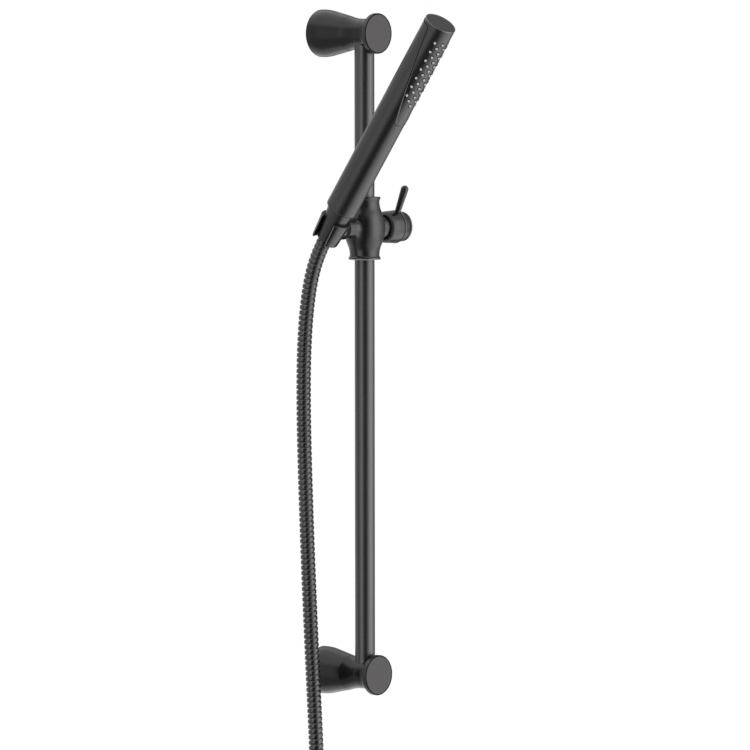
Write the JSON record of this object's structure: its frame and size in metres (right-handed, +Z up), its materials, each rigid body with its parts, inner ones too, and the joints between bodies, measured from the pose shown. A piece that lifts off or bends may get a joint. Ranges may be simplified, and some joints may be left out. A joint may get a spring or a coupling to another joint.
{
  "type": "handheld shower set",
  "caption": "Slide-bar shower set: wall bar on flared posts, lever-clamped slider, tilting cone cradle, lift-out stick handset with rubber nozzles, and a hose with a coiled tail",
  "frame": {"origin": "On the wall plane, midway between the two posts: the centre of the four wall-screw holes", "axes": "+Z up along the bar, +Y into the wall, -Y toward the user, +X to the right seen by the user; the handset is on the -X side"},
  "size_m": [0.1455, 0.205, 0.8625],
  "materials": {
    "bar_tube": "satin black coating",
    "upper_post": "satin black coating",
    "lower_post": "satin black coating",
    "upper_post_cap": "satin black coating",
    "lower_post_cap": "satin black coating",
    "upper_wall_bracket": "die cast",
    "lower_wall_bracket": "die cast",
    "upper_wall_gasket": "matte",
    "lower_wall_gasket": "matte",
    "post_set_screws": "plain stainless",
    "bar_lock_screws": "plain stainless",
    "upper_bar_plug": "nylon",
    "lower_bar_plug": "nylon",
    "upper_bush": "nylon",
    "lower_bush": "nylon",
    "slider_body": "satin black coating",
    "wave_washer": "spring steel",
    "fixed_detent_ring": "moulded",
    "thrust_washer": "nylon",
    "hose_tube": "satin black wound cover",
    "hose_coil": "satin black wound cover",
    "hose_tie": "strap",
    "supply_ferrule": "satin black coating",
    "supply_washer": "matte",
    "brake_shoe": "nylon",
    "clamp_screw": "machined",
    "clamp_knob": "satin black coating",
    "knob_screw": "plain stainless",
    "knob_cap": "satin black coating",
    "clamp_lever": "satin black coating",
    "cradle": "satin black coating",
    "moving_detent_ring": "moulded",
    "pivot_bolt": "plain stainless",
    "hose_ferrule": "satin black coating",
    "cone_nut": "satin black coating",
    "inlet_washer": "matte",
    "inlet_gasket": "matte",
    "inlet_nipple": "machined",
    "check_valve": "moulded",
    "flow_restrictor": "moulded",
    "water_tube": "moulded",
    "wand_shell": "satin black",
    "spray_tray": "moulded",
    "face_seal": "matte",
    "nozzle_mat": "matte grey silicone",
    "spray_face": "satin black",
    "supply_nut": "satin black coating"
  },
  "bodies": {
    "wall_set": {"bar_tube": "bar_tube", "upper_post": "upper_post", "lower_post": "lower_post", "upper_post_cap": "upper_post_cap", "lower_post_cap": "lower_post_cap", "upper_wall_bracket": "upper_wall_bracket", "lower_wall_bracket": "lower_wall_bracket", "upper_wall_gasket": "upper_wall_gasket", "lower_wall_gasket": "lower_wall_gasket", "post_set_screws": "post_set_screws", "bar_lock_screws": "bar_lock_screws", "upper_bar_plug": "upper_bar_plug", "lower_bar_plug": "lower_bar_plug"},
    "bushes": {"upper_bush": "upper_bush", "lower_bush": "lower_bush"},
    "slider": {"slider_body": "slider_body", "wave_washer": "wave_washer", "fixed_detent_ring": "fixed_detent_ring", "thrust_washer": "thrust_washer", "hose_tube": "hose_tube", "hose_coil": "hose_coil", "hose_tie": "hose_tie", "supply_ferrule": "supply_ferrule", "supply_washer": "supply_washer"},
    "brake": {"brake_shoe": "brake_shoe"},
    "knob": {"clamp_screw": "clamp_screw", "clamp_knob": "clamp_knob", "knob_screw": "knob_screw", "knob_cap": "knob_cap", "clamp_lever": "clamp_lever"},
    "holder": {"cradle": "cradle", "moving_detent_ring": "moving_detent_ring", "pivot_bolt": "pivot_bolt"},
    "hose_end": {"hose_ferrule": "hose_ferrule"},
    "handset": {"cone_nut": "cone_nut", "inlet_washer": "inlet_washer", "inlet_gasket": "inlet_gasket", "inlet_nipple": "inlet_nipple", "check_valve": "check_valve", "flow_restrictor": "flow_restrictor", "water_tube": "water_tube", "wand_shell": "wand_shell", "spray_tray": "spray_tray", "face_seal": "face_seal", "nozzle_mat": "nozzle_mat", "spray_face": "spray_face"},
    "outlet_nut": {"supply_nut": "supply_nut"}
  },
  "joints": [
    {"name": "slider_slide", "type": "slide", "parent": "wall_set", "child": "bushes", "axis": [0, 0, 1], "range_m": [-0.37, 0.13]},
    {"name": "slider_swivel", "type": "hinge", "parent": "bushes", "child": "slider", "pos_m": [0, -0.055, 0.1205], "axis": [0, 0, 1], "range_deg": [-12, 45]},
    {"name": "clamp_travel", "type": "slide", "parent": "slider", "child": "brake", "axis": [1, 0, 0], "range_m": [0, 0.00042]},
    {"name": "knob_turn", "type": "hinge", "parent": "brake", "child": "knob", "pos_m": [0.0405, -0.055, 0.1205], "axis": [1, 0, 0], "range_deg": [0, 100]},
    {"name": "holder_tilt", "type": "hinge", "parent": "slider", "child": "holder", "pos_m": [-0.0485, -0.055, 0.1205], "axis": [1, 0, 0], "range_deg": [-35, 45], "deforming": ["hose_tube"]},
    {"name": "handset_lift", "type": "slide", "parent": "holder", "child": "hose_end", "axis": [0, -0.5793, 0.8151], "range_m": [0, 0.025], "deforming": ["hose_tube"]},
    {"name": "handset_swivel", "type": "hinge", "parent": "hose_end", "child": "handset", "pos_m": [-0.0485, -0.055, 0.1205], "axis": [0, -0.5793, 0.8151], "continuous": true},
    {"name": "outlet_nut_spin", "type": "hinge", "parent": "slider", "child": "outlet_nut", "pos_m": [-0.0777, -0.0367, -0.52], "axis": [0, 0, 1], "continuous": true}
  ],
  "couplings": [
    {"joint": "clamp_travel", "follows": "knob_turn", "m_per_rad": 0.00023873}
  ]
}
